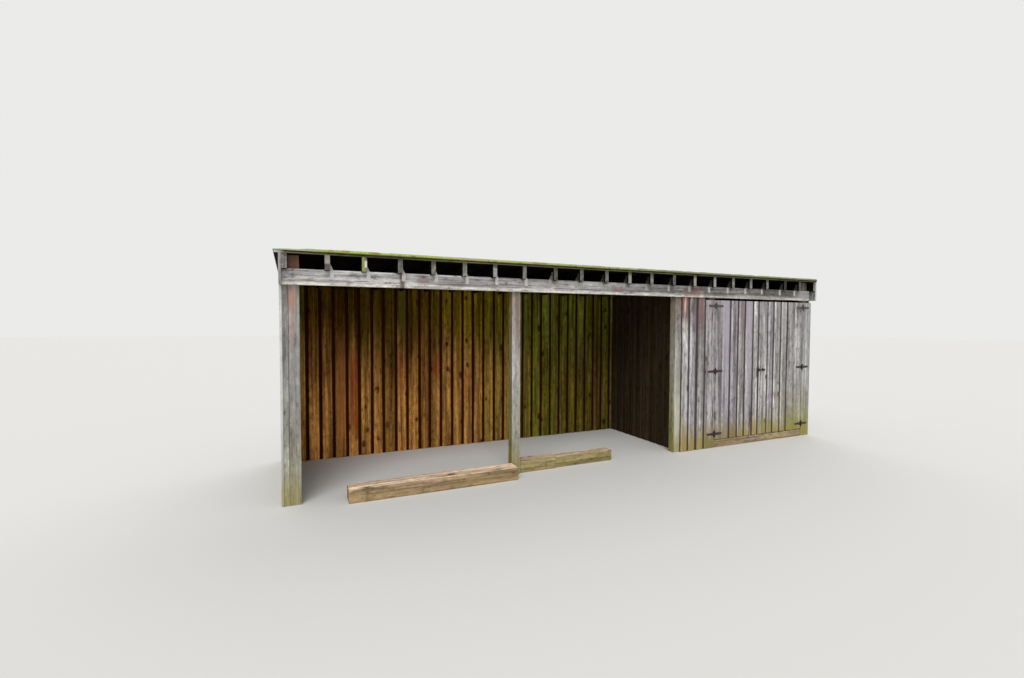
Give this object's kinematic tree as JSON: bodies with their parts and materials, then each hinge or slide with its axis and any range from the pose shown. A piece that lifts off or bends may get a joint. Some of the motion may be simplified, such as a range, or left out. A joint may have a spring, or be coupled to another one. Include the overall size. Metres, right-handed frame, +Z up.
{
  "type": "log store",
  "caption": "Long open-fronted timber log store: open log bays beside a closed tool room with hinged board doors, under a nearly flat lean-to roof on exposed rafters.",
  "frame": {"origin": "on the ground under the middle of the outline", "axes": "+X along the open front towards the tool room, +Y from the open front to the back wall, +Z up"},
  "size_m": [7.398, 1.94, 2.3871],
  "materials": {
    "frame_wood": "weathered, rough sawn",
    "rafter_wood": "weathered, rough sawn",
    "deck_wood": "weathered",
    "roofing_felt": "granular, mossy",
    "siding_wood": "silver grey, rough sawn",
    "shaded_wood": "dark brown, rough sawn",
    "curb_wood": "weathered",
    "galvanised": "dull zinc",
    "black_iron": "matt black"
  },
  "bodies": {
    "frame": {"front_post_left": "frame_wood", "front_post_middle": "frame_wood", "front_post_partition": "frame_wood", "front_post_door": "frame_wood", "front_post_right": "frame_wood", "back_posts": "frame_wood", "front_beam_left": "frame_wood", "front_beam_right": "frame_wood", "back_beam_left": "frame_wood", "back_beam_right": "frame_wood", "beam_splices": "frame_wood", "rafters": "rafter_wood", "rafter_ties": "galvanised", "roof_deck": "deck_wood", "roofing": "roofing_felt", "roof_edge": "roofing_felt", "left_wall_boards": "siding_wood", "left_wall_girts": "shaded_wood", "right_wall_boards": "siding_wood", "right_wall_girts": "shaded_wood", "rake_boards": "siding_wood", "beam_end_boards": "siding_wood", "back_wall_log_bays": "shaded_wood", "back_wall_tool_room": "shaded_wood", "back_wall_top_boards": "shaded_wood", "back_wall_rails": "shaded_wood", "partition_boards": "shaded_wood", "partition_rails": "shaded_wood", "front_wall_boards": "siding_wood", "front_wall_rails": "shaded_wood", "corner_board": "siding_wood", "door_sill": "curb_wood", "curb_left": "curb_wood", "curb_middle": "curb_wood", "door_left_hinge_plates": "black_iron", "door_right_hinge_plates": "black_iron"},
    "left_leaf": {"door_left_leaf": "siding_wood", "door_left_ledges": "shaded_wood", "door_left_straps": "black_iron", "door_left_pull": "black_iron"},
    "right_leaf": {"door_right_leaf": "siding_wood", "door_right_ledges": "shaded_wood", "door_right_straps": "black_iron", "door_right_pull": "black_iron"}
  },
  "joints": [
    {"name": "left_door_swing", "type": "hinge", "parent": "frame", "child": "left_leaf", "pos_m": [1.726, -0.828, 1.055], "axis": [0, 0, -1], "range_deg": [0, 165]},
    {"name": "right_door_swing", "type": "hinge", "parent": "frame", "child": "right_leaf", "pos_m": [3.512, -0.828, 1.055], "axis": [0, 0, 1], "range_deg": [0, 165]}
  ]
}
